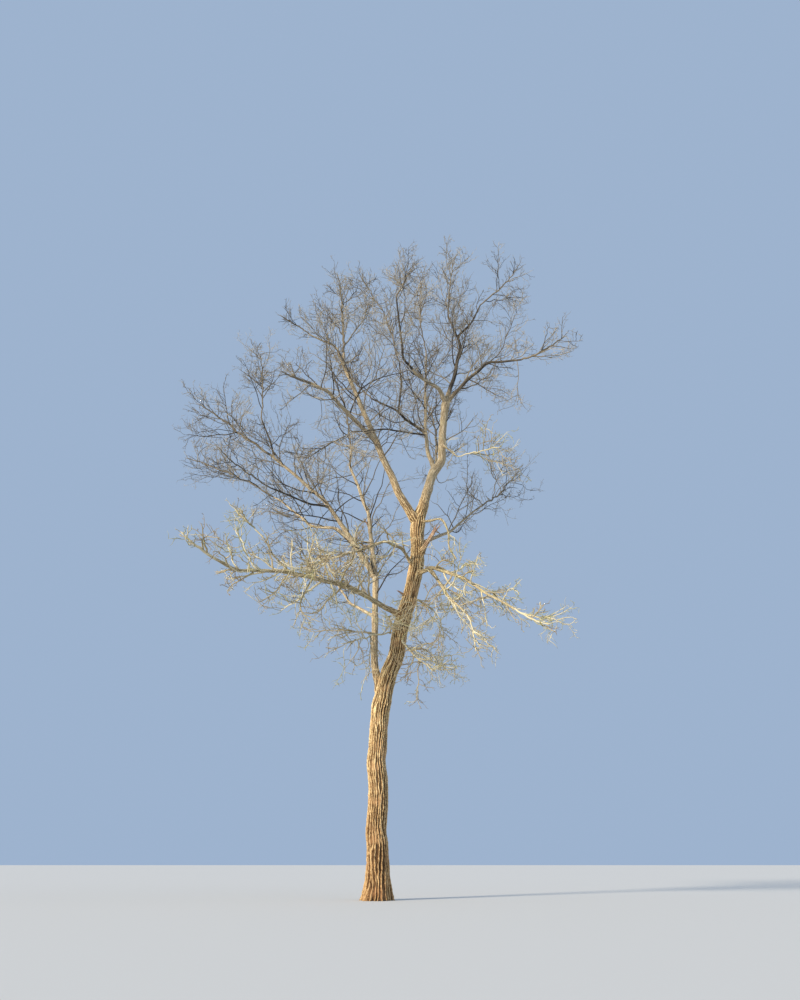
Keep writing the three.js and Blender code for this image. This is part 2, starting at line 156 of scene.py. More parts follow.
# Limbs: name, bark, parent, share of the parent's length, base radius, tip radius and runs
LIMBS = (
    ("trunk", "furrowed", None, 0, 320, 215,
     ((0, 90, 4500), (0, 84, 1480), (7, 74, 1400), (9, 76, 2610), (0, 83, 1230), (47, 87, 1170))),
    ("leader", "smooth", "trunk", 1, 170, 125,
     ((20, 73, 1900), (343, 54, 600), (283, 77, 920), (311, 80, 1450))),
    ("left_bough", "smooth", "trunk", 0.975, 150, 45,
     ((207, 55, 1330), (217, 60, 2010), (202, 66, 3250), (250, 83, 500))),
    ("left_side_branch", "smooth", "left_bough", 0.88, 42, 24, ((213, 62, 960), (203, 14, 1040))),
    ("left_outer_bough", "smooth", "left_bough", 0.46, 85, 45,
     ((221, 28, 1230), (225, 25, 1250), (214, 12, 730))),
    ("right_stem", "dark", "leader", 1, 85, 50, ((29, 72, 1320), (36, 77, 1540), (153, 78, 520))),
    ("crown_top_branch", "dark", "right_stem", 0.92, 42, 24, ((145, 72, 1490), (70, 81, 1300))),
    ("right_high_branch", "dark", "right_stem", 1, 44, 26, ((345, 43, 800), (343, 64, 900))),
    ("middle_stem", "smooth", "leader", 0.36, 85, 26,
     ((138, 71, 940), (115, 79, 1110), (80, 81, 3220), (79, 83, 900))),
    ("arching_bough", "smooth", "leader", 0.97, 75, 58, ((236, 40, 630), (227, 3, 1300))),
    ("arching_riser", "dark", "arching_bough", 1, 50, 26, ((222, 34, 720), (243, 76, 2370))),
    ("right_bough", "dark", "leader", 0.97, 72, 30,
     ((318, 31, 1230), (307, 6, 1130), (310, -23, 1720))),
    ("inner_bough", "dark", "middle_stem", 0.34, 62, 28,
     ((214, 18, 940), (219, 24, 530), (165, 35, 1200))),
    ("inner_riser", "dark", "inner_bough", 0.56, 42, 24, ((68, 78, 1510), (115, 79, 1120))),
    ("hanging_branch", "dark", "middle_stem", 0.32, 36, 22, ((235, -20, 2850), (228, -26, 1790))),
    ("dead_branch", "pale", "leader", 0.6, 34, 20, ((304, -45, 1230),)),
    ("west_stem", "smooth", "trunk", 0.476, 135, 38,
     ((117, 65, 1470), (92, 79, 3270), (112, 73, 3030), (135, 65, 2680), (88, 78, 960))),
    ("west_bough", "smooth", "west_stem", 0.42, 110, 44,
     ((194, 58, 1580), (193, 54, 1880), (198, 37, 2040), (198, 35, 600))),
    ("west_riser", "dark", "west_bough", 0.97, 40, 26, ((150, 72, 820), (137, 61, 1270))),
    ("west_back_bough", "smooth", "west_bough", 0.28, 70, 30,
     ((148, 43, 1210), (149, 18, 1240), (151, 42, 1970), (153, 34, 500))),
    ("west_front_branch", "dark", "west_bough", 0.56, 44, 24, ((227, -12, 970), (227, 1, 1770))),
    ("low_left_bough", "pale", "trunk", 0.7, 92, 42,
     ((216, 16, 2300), (224, -2, 2440), (213, -8, 1650), (216, 14, 700))),
    ("low_left_riser", "pale", "low_left_bough", 0.66, 34, 20, ((207, 41, 720), (201, 58, 530))),
    ("pale_left_branch", "pale", "trunk", 0.835, 62, 26,
     ((226, 39, 900), (231, 0, 900), (225, -29, 1610), (223, -24, 960))),
    ("pale_right_branch", "pale", "trunk", 0.815, 75, 28,
     ((310, 1, 920), (307, -27, 1680), (308, -37, 1420), (313, -34, 1160))),
    ("pale_hanging_branch", "pale", "pale_right_branch", 0.17, 58, 24,
     ((291, -44, 2070), (301, -41, 1230))),
    ("bent_branch", "pale", "trunk", 0.985, 46, 26,
     ((314, -12, 1140), (305, -58, 680), (277, -80, 600), (316, -60, 580))),
    ("broken_stub", "split", "trunk", 0.865, 92, 62, ((321, 49, 1250),)),
    ("back_bough", "smooth", "leader", 0.22, 75, 34, ((70, 48, 1500), (85, 58, 2000))),
    ("back_right_bough", "smooth", "trunk", 0.91, 72, 30, ((35, 30, 1700), (42, 42, 1900))),
    ("back_left_bough", "smooth", "west_stem", 0.3, 62, 28, ((135, 30, 1500), (120, 42, 1500))),
    ("back_low_branch", "pale", "trunk", 0.74, 62, 26, ((75, 18, 1600), (70, 4, 1700))),
)

# Masses of twigs: name, bough, stem (heading, rise, length) and lift.
# On the trunk's side, a share of its length and the stem's radius follow.
MASSES = (
    ("left_top_twigs", "left_bough", (326, 82, 2850), 0.3),
    ("left_side_twigs", "left_side_branch", (201, 37, 1250), 0.3),
    ("left_outer_twigs", "left_outer_bough", (214, -1, 1210), 0.2),
    ("crown_top_twigs", "crown_top_branch", (67, 87, 2190), 0.3),
    ("right_high_twigs", "right_high_branch", (344, 40, 2210), 0.3),
    ("middle_twigs", "middle_stem", (74, 83, 5000), 0.3),
    ("arching_twigs", "arching_riser", (9, 66, 2050), 0.3),
    ("right_twigs", "right_bough", (321, -4, 1900), 0.3),
    ("inner_left_twigs", "inner_bough", (154, 52, 2710), 0.3),
    ("inner_top_twigs", "inner_riser", (158, 74, 4570), 0.3),
    ("hanging_twigs", "hanging_branch", (216, -45, 2630), 0),
    ("dead_twigs", "dead_branch", (324, -11, 2090), 0),
    ("west_stem_twigs", "west_stem", (114, 72, 3140), 0.3),
    ("west_twigs", "west_bough", (196, 31, 3530), 0.3),
    ("west_riser_twigs", "west_riser", (182, 81, 3640), 0.3),
    ("west_back_twigs", "west_back_bough", (162, 29, 4600), 0.3),
    ("west_front_twigs", "west_front_branch", (219, 13, 2500), 0.2),
    ("low_left_twigs", "low_left_bough", (210, 19, 1300), 0),
    ("low_riser_twigs", "low_left_riser", (191, 51, 1400), 0.2),
    ("pale_left_twigs", "pale_left_branch", (236, -46, 2100), -0.2),
    ("pale_right_twigs", "pale_right_branch", (313, -32, 1500), -0.1),
    ("pale_hanging_twigs", "pale_hanging_branch", (300, -52, 1500), -0.2),
    ("back_twigs", "back_bough", (82, 59, 4610), 0.3),
    ("back_right_twigs", "back_right_bough", (34, 41, 3900), 0.3),
    ("back_left_twigs", "back_left_bough", (136, 33, 4880), 0.2),
    ("back_low_twigs", "back_low_branch", (69, -3, 2580), -0.1),
    ("trunk_left_twigs", "trunk", (228, -14, 2900), -0.1, 0.655, 26),
    ("trunk_right_twigs", "trunk", (305, -44, 2400), -0.2, 0.645, 30),
)
# Those on pale limbs and on the trunk are low and pale, and the others are high and dark
BARK_OF_LIMB = {row[0]: row[1] for row in LIMBS}
IS_LOW = np.array([BARK_OF_LIMB[row[1]] in ("pale", "furrowed") for row in MASSES])

# Broken snags: name, bark, parent, share of its length, base radius, tip radius and runs
SNAGS = (
    ("trunk_snag", "split", "trunk", 0.748, 40, 26, ((214, 22, 470),)),
    ("west_stem_snag", "split", "west_stem", 0.62, 30, 18, ((196, 60, 420),)),
    ("high_snag", "dark", "right_high_branch", 0.42, 26, 15, ((190, 58, 330),)),
)

# Twigs along bare limbs: spacing, the share of the limb where they begin, lift and greatest length
LIMB_SHOOTS = {
    "smooth": (400, 0.34, 0.45, 2800),
    "dark": (360, 0.14, 0.5, 2400),
    "pale": (330, 0.16, -0.2, 1500),
    "low_left_bough": (200, 0.2, 0.35, 1900),
    "leader": (1100, 0.5, 0.5, 2000),
    "bent_branch": (900, 0.5, -0.2, 900),
}
SHOOT_SEED = 9000
SHOOT_SEED_STEP = 61
LIMB_PLACES = 25

# Barks: slot, depth of relief, lumps, how much of the patches shows, and the colours of furrows, their
# flanks, ridges, their crests and patches. The colours follow the relief's height, so the dark furrow colour
# is partly the bark's own darker furrows and partly painted shade in the furrows, and the light crest colour
# is partly a painted highlight on the ridges
BARKS = {
    "furrowed": dict(slot="bark_furrowed", depth=1, lumps=0.04, patches=0.55, colours=(
        (0.12, 0.07, 0.032), (0.46, 0.31, 0.15), (0.71, 0.545, 0.285), (0.82, 0.67, 0.40),
        (0.62, 0.39, 0.20))),
    "smooth": dict(slot="bark_smooth", depth=0.66, lumps=0.06, patches=0.5, colours=(
        (0.29, 0.22, 0.135), (0.53, 0.43, 0.28), (0.67, 0.57, 0.39), (0.76, 0.66, 0.48),
        (0.50, 0.43, 0.26))),
    "dark": dict(slot="bark_dark", depth=0.6, lumps=0.08, patches=0.45, colours=(
        (0.03, 0.027, 0.024), (0.068, 0.058, 0.047), (0.125, 0.106, 0.082), (0.23, 0.195, 0.147),
        (0.27, 0.225, 0.15))),
    "pale": dict(slot="bark_pale", depth=0.5, lumps=0.13, patches=0.6, colours=(
        (0.24, 0.19, 0.11), (0.49, 0.41, 0.25), (0.67, 0.58, 0.38), (0.78, 0.71, 0.51),
        (0.52, 0.46, 0.23))),
    "split": dict(slot="split_wood", depth=0.3, lumps=0.1, patches=0.4, colours=(
        (0.24, 0.14, 0.10), (0.42, 0.27, 0.195), (0.56, 0.39, 0.295), (0.68, 0.50, 0.39),
        (0.46, 0.28, 0.2))),
}
# Places of the colours along the relief's height, from the painted shade in the furrows to the painted
# highlight on the crests
RAMP_PLACES = (0.12, 0.42, 0.70, 0.96)

# The relief's depth and the width of its furrows on a limb of the full radius, and how both fade
FULL_RADIUS = 270
RELIEF_DEPTH = 40
DEPTH_POWER = 1.2
LUMP_PITCH = 0.5
FURROW_WIDTH = 78
WIDTH_POWER = 0.5
FURROW_ASPECT = 14
FEWEST_COLUMNS = 6
RIDGE_DIP = 0.2
RIDGE_EDGE = (0.06, 0.42)
MEAN_RELIEF = 0.6
# A finer net of furrows lies over the first
FINE_RELIEF, FINE_PITCH, FINE_COLUMNS = 0.24, 2.6, 2
# How far and how fast the net sways, how far it shifts along the limb, and how far its cells stray
FURROW_SWAY, SWAY_PITCH, FURROW_SHIFT = 0.42, 0.7, 0.15
SIDE_JITTER, RISE_JITTER = 0.7, 0.6
# Uneven fields: the most turns of a wave round a limb, its pitch along it, how later waves fade, and how
# many waves are added up
WAVE_ROUNDS, WAVE_PITCH, WAVE_FADE = 2, (0.4, 1.3), 0.5
SWAY_WAVES, SHIFT_WAVES, LUMP_WAVES, RAG_WAVES = 4, 3, 4, 6
# Seeds of the patterns, and a number that keeps the rows of cells above zero
PATTERN_SEED, SHIFT_SEED, RISE_SEED, PHASE_SEED, FINE_SEED, LUMP_SEED = 11, 1, 5, 9, 200, 400
ROW_OFFSET = 1000
# The mesh: its sides for each column of furrows, and the spacing of its rings, in millimetres or in sides
SIDES_OF_COLUMN = {"trunk": 7, "thick": 5, "middling": 4, "thin": 3}
THIN_RADIUS = 50
LEAST_SPACING, RING_ASPECT = 33, 3

# A limb widens like a trumpet at its parent's surface, most along the parent, which swells below it
TRUMPET_SWELL = 0.55
TRUMPET_REACH = 1.4
TRUMPET_SIDE = 0.35
# Within the parent it stays narrower, and it emerges between these shares of the way out
INSIDE_PARENT = 0.9
EMERGING = (0.55, 1.1)
LEAST_SLANT = 0.45
# The parent's direction is taken over this share of its length each way
WAY_REACH = 0.01
# A limb nearly as thick as its parent forks from it with little more width
THIN_SIDE_LIMB = 0.3
THICK_SIDE_LIMB = 0.7
THICK_TRUMPET = 0.15
FORK_SWELL = 0.22
FORK_REACH_BELOW = 3.2
FORK_REACH_ABOVE = 1.2
THINNEST_FORK = 50
CONTINUED_RADIUS = 120
# How far a limb keeps its parent's bark, at the parent's tip and on its side, and its parent's width
TIP_KINSHIP, SIDE_KINSHIP, STEP_REACH = 8, 15, 5
# A rounded tip's length in tip radii, and the slopes of its rings
TIP_ASPECT = 0.8
TIP_SLOPES = (30, 60)

# Marks on the trunk: height out of it, distance along it, turn round it, half width and half length
BURLS = ((60, 9560, 0.24, 125, 190), (30, 9900, 0.36, 90, 120), (26, 7250, 0.16, 100, 150),
         (24, 8850, 0.30, 80, 110), (22, 5650, 0.33, 110, 150), (30, 11050, 0.20, 90, 140))
# The scar's place, its hollow and the lip round it
SCAR = (9370, 0.15, 105, 165)
SCAR_DEPTH, SCAR_EDGE = 80, (0.35, 0.75)
LIP_SWELL, LIP_PLACE, LIP_WIDTH = 22, 0.25, 0.12
# The root flare's waves: count, phase and size, and how far up they stay level, in reaches of the flare
BUTTRESSES = ((5, 1.1, 1), (3, 0.4, 0.6))
BUTTRESS_SHARE = 0.3
LEVEL_REACH = 3

# A broken end on a limb of this tip radius: its ragged rim, slivers by turn, length and width, and hollow
TORN_RADIUS = 62
RAG_LENGTH, RAG_ROUNDS, RAG_SEED = 55, 2, 17
SLIVERS = ((0.14, 220, 0.10), (0.58, 130, 0.09))
TORN_RINGS, TORN_POWER = 15, 1.6
HOLLOW_WIDTH, HOLLOW_FOOT, HOLLOW_SIDE, HOLLOW_DEPTH = 0.72, 0.35, 20, 60
FLATTENING, FLAT_FROM = 0.3, 2.5

# UV places: strips of bark, and discs above them for the two ends
STRIP_EDGE, STRIP_WIDTH, STRIP_FOOT, STRIP_HEIGHT = 0.02, 0.96, 0.004, 0.93
END_REACH, END_HEIGHT, END_MIDDLES = 0.024, 0.968, (0.25, 0.75)


class Stream:
    """Random numbers from 0 to 1, one for every seed at a draw, that depend only on that seed"""

    def __init__(self, seeds):
        self.states = np.array(seeds, dtype=np.uint32)

    def draw(self, chosen=slice(None)):
        self.states[chosen] += np.uint32(STREAM_STEP)
        mixed = self.states[chosen]
        mixed = (mixed ^ (mixed >> 15)) * (mixed | 1)
        mixed = mixed ^ (mixed + (mixed ^ (mixed >> 7)) * (mixed | 61))
        return (mixed ^ (mixed >> 14)) / float(TWO_TO_32)

    def offset(self, chosen=slice(None)):
        return np.stack([self.draw(chosen) - 0.5 for _ in range(3)], axis=-1)


def salted(seeds, salt):
    """One number from 0 to 1 for each seed, apart from those of the other salts"""
    return Stream(seeds ^ np.uint32(salt)).draw()


def direction(heading, rise):
    plan, climb = math.radians(heading), math.radians(rise)
    level = math.cos(climb)
    return np.array([level * math.cos(plan), level * math.sin(plan), math.sin(climb)])


def unit(vectors):
    return vectors / np.linalg.norm(vectors, axis=-1, keepdims=True)


def lerp(start, end, share):
    return start + (end - start) * share


def smooth_step(low, high, value):
    share = np.clip((value - low) / (high - low), 0, 1)
    return share * share * (3 - 2 * share)


def perpendicular(ways):
    """A level direction square to each one"""
    level = np.stack([-ways[..., 1], ways[..., 0], np.zeros(ways.shape[:-1])], axis=-1)
    length = np.linalg.norm(level, axis=-1, keepdims=True)
    level = level / np.maximum(length, LEAST_IN_PLAN)
    return np.where(length > LEAST_IN_PLAN, level, np.array([1.0, 0, 0]))


def numbered(counts):
    """For rows repeated by these counts, the row of each repeat and its number in that row"""
    rows = np.repeat(np.arange(len(counts)), counts)
    return rows, np.arange(len(rows)) - np.repeat(np.cumsum(counts) - counts, counts)


def curve_points(knots, shares):
    """Points at shares of a smooth curve through the knots, whose first index can be a row of curves"""
    count = knots.shape[-2]
    place = np.asarray(shares, dtype=float) * (count - 1)
    index = np.minimum(place.astype(int), count - 2)
    rest = (place - index)[:, None]
    before = 2 * knots[..., :1, :] - knots[..., 1:2, :]
    after = 2 * knots[..., -1:, :] - knots[..., -2:-1, :]
    padded = np.concatenate([before, knots, after], axis=-2)
    first, start, end, last = (padded[..., index + shift, :] for shift in range(4))
    leave, arrive = 0.5 * (end - first), 0.5 * (last - start)
    return ((2 * rest ** 3 - 3 * rest ** 2 + 1) * start + (rest ** 3 - 2 * rest ** 2 + rest) * leave
            + (3 * rest ** 2 - 2 * rest ** 3) * end + (rest ** 3 - rest ** 2) * arrive)


def lay_limb(row, index, limbs):
    name, bark, parent_name, share, base, tip, runs = row
    stream = Stream([LIMB_SEED + LIMB_SEED_STEP * index])
    parent = limbs.get(parent_name)
    at_tip = parent is not None and share == 1
    first = parent.last if at_tip else direction(*runs[0][:2])
    start = np.zeros(3) if parent is None else curve_points(parent.knots, [share])[0]
    if at_tip:
        start = start + GAP * first
    stray = CROOKEDNESS * (base + tip) / 2
    knots = [start]
    corner = start
    for heading, rise, length in runs:
        way = direction(heading, rise)
        steps = math.ceil(length / KNOT_SPACING)
        for step in range(1, steps + 1):
            knots.append(corner + way * (length * step / steps) + stray * stream.offset()[0])
        corner = corner + way * length
    knots = np.array(knots)
    limb = SimpleNamespace(
        name=name, bark=bark, parent=parent, share=share, base=base, tip=tip, first=first, knots=knots,
        last=unit(knots[-1] - knots[-2]), at_tip=at_tip, is_side=parent is not None and not at_tip,
        parent_bark=parent.bark if parent else bark, forks=[], number=index,
        length=sum(run[2] for run in runs))
    if limb.is_side and base >= THINNEST_FORK:
        parent.forks.append((share * parent.length, base))
    rings = max(FEWEST_RINGS, math.ceil(limb.length / RING_SPACING))
    shares = np.arange(rings + 1) / rings
    limb.points = curve_points(knots, shares)
    limb.radii = limb_radius(limb, shares)
    return limb


def limb_radius(limb, share):
    plain = lerp(limb.base, limb.tip, share)
    distance = share * limb.length
    if limb.parent is None:
        return plain + FLARE_SWELL * np.exp(-distance / FLARE_REACH)
    if limb.at_tip:
        return plain
    return plain + COLLAR_SWELL * limb.base * np.exp(-distance / (COLLAR_REACH * limb.base))


def bark_radius(limb, distance):
    """The limb's radius with its bark, which swells under each fork and continues its parent's"""
    radius = limb_radius(limb, distance / limb.length)
    for place, base in limb.forks:
        reach = base * np.where(distance < place, FORK_REACH_BELOW, FORK_REACH_ABOVE)
        radius = radius + FORK_SWELL * base * np.exp(-((distance - place) / reach) ** 2)
    if limb.at_tip:
        parent = limb.parent
        step = bark_radius(parent, parent.length) - limb.base
        radius = radius + step * (1 - smooth_step(0, STEP_REACH * limb.base, distance))
    return radius


def one_row(points, radii, length, seed, lift, mass):
    """One twig, in the form of a set of twigs"""
    row = dict(points=points, radii=radii, length=length, lift=lift, mass=mass)
    row = {name: np.array([value]) for name, value in row.items()}
    seed = np.array([seed], dtype=np.uint32)
    return dict(row, seed=seed, spray=seed)


def lay_stems(limbs):
    """The stem of each mass, as the first twigs"""
    rows = []
    for mass, (_, bough_name, (heading, rise, length), lift, *on_trunk) in enumerate(MASSES):
        bough = limbs[bough_name]
        if on_trunk:
            start, radius = curve_points(bough.knots, on_trunk[:1])[0], on_trunk[1]
        else:
            start, radius = bough.points[-1] + GAP * bough.last, bough.radii[-1]
        seed = MASS_SEED + MASS_SEED_STEP * mass
        path = wander_paths(start[None], direction(heading, rise)[None], np.array([length]), STEM_SEGMENTS,
                            STEM_WANDER, np.zeros(1), Stream([seed]), np.array([0]))
        radii = tapers([radius], STEM_TIP_RADIUS, STEM_SEGMENTS)
        rows.append(one_row(path[0], radii[0], length, seed, lift, mass))
    return merged(rows)


def wander_paths(start, way, length, segments, wander, lift, stream, chosen):
    """Paths that wander at each step and turn upwards by their lift"""
    points = [start]
    heading = way
    for _ in range(segments):
        heading = heading + wander * stream.offset(chosen)
        heading[:, 2] += lift / segments
        heading = unit(heading)
        points.append(points[-1] + heading * (length / segments)[:, None])
    return np.stack(points, axis=1)


def tapers(root, tip, segments):
    """Radii from the root towards the tip, one for each ring and one for the point"""
    shares = np.arange(segments + 1) / segments
    return lerp(np.asarray(root, dtype=float)[:, None], tip, shares)


def along(parents, rows, share):
    """The points, directions and radii at shares of the parents' lengths"""
    paths, radii = parents["points"][rows], parents["radii"][rows]
    segments = paths.shape[1] - 1
    segment = np.minimum(segments - 1, (share * segments).astype(int))
    rest = share * segments - segment
    each = np.arange(len(rows))
    start, end = paths[each, segment], paths[each, segment + 1]
    point = lerp(start, end, rest[:, None])
    return point, unit(end - start), lerp(radii[each, segment], radii[each, segment + 1], rest)


def lean_away(ways, turn, spread):
    """Directions at an angle to the given ones, turned about them"""
    aside = perpendicular(ways)
    turn = np.radians(turn)[:, None]
    aside = aside * np.cos(turn) + np.cross(ways, aside) * np.sin(turn)
    angle = np.radians(spread)[:, None]
    return ways * np.cos(angle) + aside * np.sin(angle)


def grow(parents, level, is_free):
    """The twigs of one level on their parents, leaving out each one that is not free"""
    counts = np.floor(parents["length"] / level["spacing"] + 0.5).astype(int)
    counts = np.maximum(FEWEST_TWIGS, counts)
    rows, index = numbered(counts)
    seed = parents["seed"][rows] * np.uint32(SEED_FACTOR) + index.astype(np.uint32) + np.uint32(1)
    stream = Stream(seed)
    share = lerp(level["first"], level["last"], (index + stream.draw()) / counts[rows])
    turn = GOLDEN_TURN * index + TURN_JITTER * (stream.draw() - 0.5)
    start, root_way, root_radius = along(parents, rows, share)
    spread = level["spread"] + level["spread_jitter"] * (salted(seed, SPREAD_SALT) - 0.5)
    way = lean_away(root_way, turn, spread)
    middling = np.minimum(parents["length"][rows] * level["share"], level["longest"])
    full = middling * (level["root_length"] - level["tip_loss"] * share)
    full = full * (1 + level["jitter"] * (stream.draw() - 0.5))
    radius = np.maximum(level["tip_radius"], level["root_share"] * root_radius)
    radius = np.minimum(radius, level["thickest"])
    segments = level["segments"]
    lift = parents["lift"][rows]
    mass = parents["mass"][rows]
    points = np.zeros((len(rows), segments + 1, 3))
    length = np.zeros(len(rows))
    left = np.arange(len(rows))
    for trim in TRIMS:
        tried = wander_paths(start[left], way[left], trim * full[left], segments, level["wander"],
                             lift[left], stream, left)
        free = is_free(tried, radius[left], mass[left])
        points[left[free]] = tried[free]
        length[left[free]] = trim * full[left[free]]
        left = left[~free]
    radii = tapers(radius, level["tip_radius"], segments)
    spray = seed if level.get("own_spray") else parents["spray"][rows]
    twigs = dict(points=points, radii=radii, length=length, seed=seed, lift=lift, mass=mass, spray=spray)
    return chosen_rows(twigs, length > 0)


def chosen_rows(twigs, chosen):
    return {name: values[chosen] for name, values in twigs.items()}


def merged(sets):
    return {name: np.concatenate([twigs[name] for twigs in sets]) for name in sets[0]}


def thinned(twigs, cell, most_high, most_low):
    """The twigs with no more than a few tips in each cell of space, chosen by their seeds"""
    outward = np.linalg.norm((twigs["points"][:, -1] - CROWN_MIDDLE) / CROWN_REACH, axis=1)
    kept = lerp(INNER_SHARE, 1, smooth_step(*INNER_RISE, outward))
    kept = kept * np.array([OPEN_MASSES.get(row[0], 1) for row in MASSES])[twigs["mass"]]
    twigs = chosen_rows(twigs, salted(twigs["seed"], OPEN_SALT) < kept)
    cells = np.floor((twigs["points"][:, -1] - BOX_LOW) / cell).astype(np.int64)
    key = cells @ np.array([1, CELLS_ACROSS, CELLS_ACROSS ** 2])
    order = np.lexsort((salted(twigs["seed"], CROWD_SALT), key))
    _, rank = numbered(np.unique(key[order], return_counts=True)[1])
    most = np.where(IS_LOW[twigs["mass"][order]], most_low, most_high)
    return chosen_rows(twigs, np.sort(order[rank < most]))


def refined(twigs, kink, thicker, thicker_root):
    """The same twigs, thicker and on smooth paths of more segments, with a small kink at each new point"""
    knots = twigs["points"]
    count = (knots.shape[1] - 1) * FINER_STEPS + 1
    shares = np.arange(count) / (count - 1)
    points = curve_points(knots, shares)
    stream = Stream(twigs["seed"] ^ np.uint32(KINK_SALT))
    spacing = twigs["length"] / (count - 1)
    for ring in range(1, count - 1):
        if ring % FINER_STEPS:
            points[:, ring] += kink * spacing[:, None] * stream.offset()
    place = shares * (knots.shape[1] - 1)
    radii = np.stack([np.interp(place, np.arange(knots.shape[1]), row) for row in twigs["radii"]])
    growth = lerp(thicker_root, thicker, np.minimum(1, 2 * shares))
    return dict(twigs, points=points, radii=radii * growth)


def check_places(paths):
    """Places at even spacings along the paths, and the path that each belongs to"""
    starts, ends = paths[:, :-1].reshape(-1, 3), paths[:, 1:].reshape(-1, 3)
    steps = np.ceil(np.linalg.norm(ends - starts, axis=1) / CHECK_SPACING).astype(int)
    segment, number = numbered(steps)
    places = lerp(starts[segment], ends[segment], ((number + 1) / steps[segment])[:, None])
    owner = segment // (paths.shape[1] - 1)
    return np.concatenate([paths[:, 0], places]), np.concatenate([np.arange(len(paths)), owner])


def distance_to_line(places, start, end):
    line = end - start
    share = np.clip((places - start) @ line / (line @ line), 0, 1)
    return np.linalg.norm(places - start - share[:, None] * line, axis=1)


def in_own_space(places, mass, chords):
    """True where a place lies nearer to its own mass's stem than to another's"""
    spans = np.stack([distance_to_line(places, start, end) for start, end in chords], axis=1)
    each = np.arange(len(places))
    own = spans[each, mass]
    spans[each, mass] = np.inf
    return (own + SPACE_MARGIN < spans.min(axis=1)) & (places[:, 2] >= LOWEST_TWIG)


def clear_of_limbs(places, radius, limbs):
    clear = np.ones(len(places), dtype=bool)
    for limb in limbs.values():
        points = limb.points
        for ring in range(1, len(points)):
            spans = distance_to_line(places, points[ring - 1], points[ring])
            clear &= spans >= limb.radii[ring - 1] + radius + LIMB_CLEARANCE
    return clear


def free_as_solids(limbs, chords):
    """The solids' own test of a twig"""
    def is_free(paths, radius, mass):
        places, owner = check_places(paths)
        good = in_own_space(places, mass[owner], chords) & clear_of_limbs(places, radius[owner], limbs)
        return np.bincount(owner, weights=~good, minlength=len(paths)) == 0
    return is_free


def free_as_fine(limbs):
    """The test of a finer twig: its outer half stays clear of the limbs and within the solids' box"""
    def is_free(paths, radius, _):
        good = np.ones(len(paths), dtype=bool)
        for ring in (paths.shape[1] // 2, paths.shape[1] - 1):
            places = paths[:, ring]
            good &= clear_of_limbs(places, radius, limbs) & (places[:, 2] >= LOWEST_TWIG)
            good &= ((places >= BOX_LOW) & (places <= BOX_HIGH)).all(axis=1)
        return good
    return is_free


def twigs_on_limbs(limbs, chords, is_free):
    """Twigs along the bare limbs, each limb by its rule in LIMB_SHOOTS"""
    own_mass = {row[1]: mass for mass, row in enumerate(MASSES) if row[1] != "trunk"}
    shares = np.linspace(0, 1, LIMB_PLACES)
    sets = []
    for limb in limbs.values():
        rule = LIMB_SHOOTS.get(limb.name, LIMB_SHOOTS.get(limb.bark))
        if rule is None:
            continue
        spacing, first, lift, longest = rule
        points = curve_points(limb.knots, shares)
        spans = [distance_to_line(points[-1:], start, end)[0] for start, end in chords]
        mass = own_mass.get(limb.name, int(np.argmin(spans)))
        seed = SHOOT_SEED + SHOOT_SEED_STEP * limb.number
        row = one_row(points, limb_radius(limb, shares), limb.length, seed, lift, mass)
        sets.append(grow(row, dict(LIMB_TWIGS, spacing=spacing, longest=longest, first=first), is_free))
    return merged(sets)


def waves(turn, climb, seed, count):
    """A smooth uneven field round a limb and along it, from about -1 to 1"""
    random = np.random.default_rng(seed)
    total = np.zeros(np.broadcast(turn, climb).shape)
    for number in range(count):
        rounds = random.integers(-WAVE_ROUNDS - number, WAVE_ROUNDS + 1 + number)
        pitch = random.uniform(*WAVE_PITCH) * (1 + number)
        phase = random.uniform(0, math.tau)
        size = 1 + WAVE_FADE * number
        total = total + np.sin(math.tau * (rounds * turn + pitch * climb) + phase) / size
    return total / math.sqrt(count)


def cell_hash(column, row, seed):
    """A number from 0 to 1 for each cell of the bark's net"""
    keys = ((column.astype(np.uint32) * np.uint32(COLUMN_FACTOR))
            ^ (row.astype(np.int64).astype(np.uint32) * np.uint32(ROW_FACTOR))
            ^ np.uint32(seed * PATTERN_FACTOR % TWO_TO_32))
    return Stream(keys).draw()


def furrow_net(turn, climb, columns, seed):
    """Height of the bark, from 0 in a furrow to 1 on the ridges that part and join round it"""
    across = turn * columns + FURROW_SWAY * waves(turn, climb * SWAY_PITCH, seed, SWAY_WAVES)
    climb = climb + FURROW_SHIFT * waves(turn, climb, seed + SHIFT_SEED, SHIFT_WAVES)
    column = np.floor(across)
    nearest_of, next_of = [], []
    for beside in (-1, 0, 1):
        cell_column = column + beside
        key_column = np.mod(cell_column, columns)
        phase = cell_hash(key_column, key_column * 0, seed + PHASE_SEED)
        row = np.floor(climb - phase)
        spans = []
        for above in (-1, 0, 1):
            key_row = row + above + ROW_OFFSET
            aside = SIDE_JITTER * (cell_hash(key_column, key_row, seed) - 0.5)
            up = RISE_JITTER * (cell_hash(key_column, key_row, seed + RISE_SEED) - 0.5)
            spans.append(np.hypot(across - (cell_column + 0.5 + aside),
                                  climb - (row + above + phase + 0.5 + up)))
        spans = np.sort(spans, axis=0)
        nearest_of.append(spans[0])
        next_of.append(spans[1])
    nearest_column = np.argmin(nearest_of, axis=0)[None]
    nearest, beside = np.sort(nearest_of, axis=0)[:2]
    along_column = np.take_along_axis(np.array(next_of), nearest_column, axis=0)[0]
    return 1 - smooth_step(*RIDGE_EDGE, np.minimum(beside, along_column + RIDGE_DIP) - nearest)


def carried_frames(points, first, last, axis):
    """Two axes across each path at each of its points, carried along it with no twist, and its direction"""
    ahead = np.empty_like(points)
    ahead[:, 1:-1] = points[:, 2:] - points[:, :-2]
    ahead[:, 0], ahead[:, -1] = first, last
    ahead = unit(ahead)
    across = np.empty_like(points)
    for ring in range(points.shape[1]):
        way = ahead[:, ring]
        axis = unit(axis - way * (axis * way).sum(axis=1, keepdims=True))
        across[:, ring] = axis
    return across, np.cross(across, ahead), ahead


